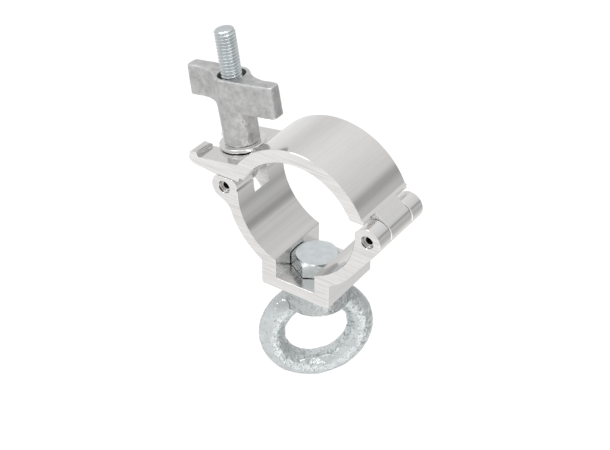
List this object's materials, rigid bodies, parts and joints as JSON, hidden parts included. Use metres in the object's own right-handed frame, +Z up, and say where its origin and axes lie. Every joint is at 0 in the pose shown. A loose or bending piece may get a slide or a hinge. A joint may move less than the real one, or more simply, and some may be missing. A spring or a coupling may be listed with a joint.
{
  "type": "tube clamp with lifting eye",
  "caption": "Slim hinged tube clamp: aluminium saddle and jaw, swing bolt with T-handle nut, and a lifting eye nut below.",
  "frame": {"origin": "centre of the saddle's tube seat, half way along the tube", "axes": "+Y along the tube, +X from the swing bolt towards the hinge, +Z up; the clamp hangs from its tube"},
  "size_m": [0.0973, 0.0362, 0.1433],
  "materials": {
    "extruded_aluminium": "bright extruded sides, saw-cut ends",
    "spring_steel": "plated, satin",
    "zinc_plated_steel": "bright zinc plate, bluish",
    "cast_nut": "dull plated casting, slightly mottled",
    "galvanised_steel": "galvanised forging, fine bumps"
  },
  "bodies": {
    "root": {"saddle": "extruded_aluminium", "hinge_pin": "spring_steel", "pivot_pin": "spring_steel", "clamp_bolt": "zinc_plated_steel", "eye_nut": "galvanised_steel"},
    "jaw": {"jaw": "extruded_aluminium"},
    "swing_bolt": {"swing_bolt": "zinc_plated_steel"},
    "washer": {"washer": "zinc_plated_steel"},
    "t_nut": {"t_nut": "cast_nut"}
  },
  "joints": [
    {"name": "jaw_hinge", "type": "hinge", "parent": "root", "child": "jaw", "pos_m": [0.0311, 0, -0.0004], "axis": [0, 1, 0], "range_deg": [0, 9.1]},
    {"name": "bolt_swing", "type": "hinge", "parent": "root", "child": "swing_bolt", "pos_m": [-0.0321, 0, -0.0002], "axis": [0, 1, 0], "range_deg": [-85, 0]},
    {"name": "nut_travel", "type": "slide", "parent": "swing_bolt", "child": "washer", "axis": [-0.1547, 0, 0.988], "range_m": [0, 0.036]},
    {"name": "nut_spin", "type": "hinge", "parent": "washer", "child": "t_nut", "pos_m": [-0.03409, 0, 0.0125], "axis": [-0.1547, 0, 0.988], "range_deg": [0, 10360]}
  ],
  "couplings": [
    {"joint": "nut_travel", "follows": "nut_spin", "m_per_rad": 0.00019894},
    {"joint": "bolt_swing", "follows": "nut_spin", "ratio": -0.0082},
    {"joint": "jaw_hinge", "follows": "nut_spin", "ratio": 0.000878}
  ]
}
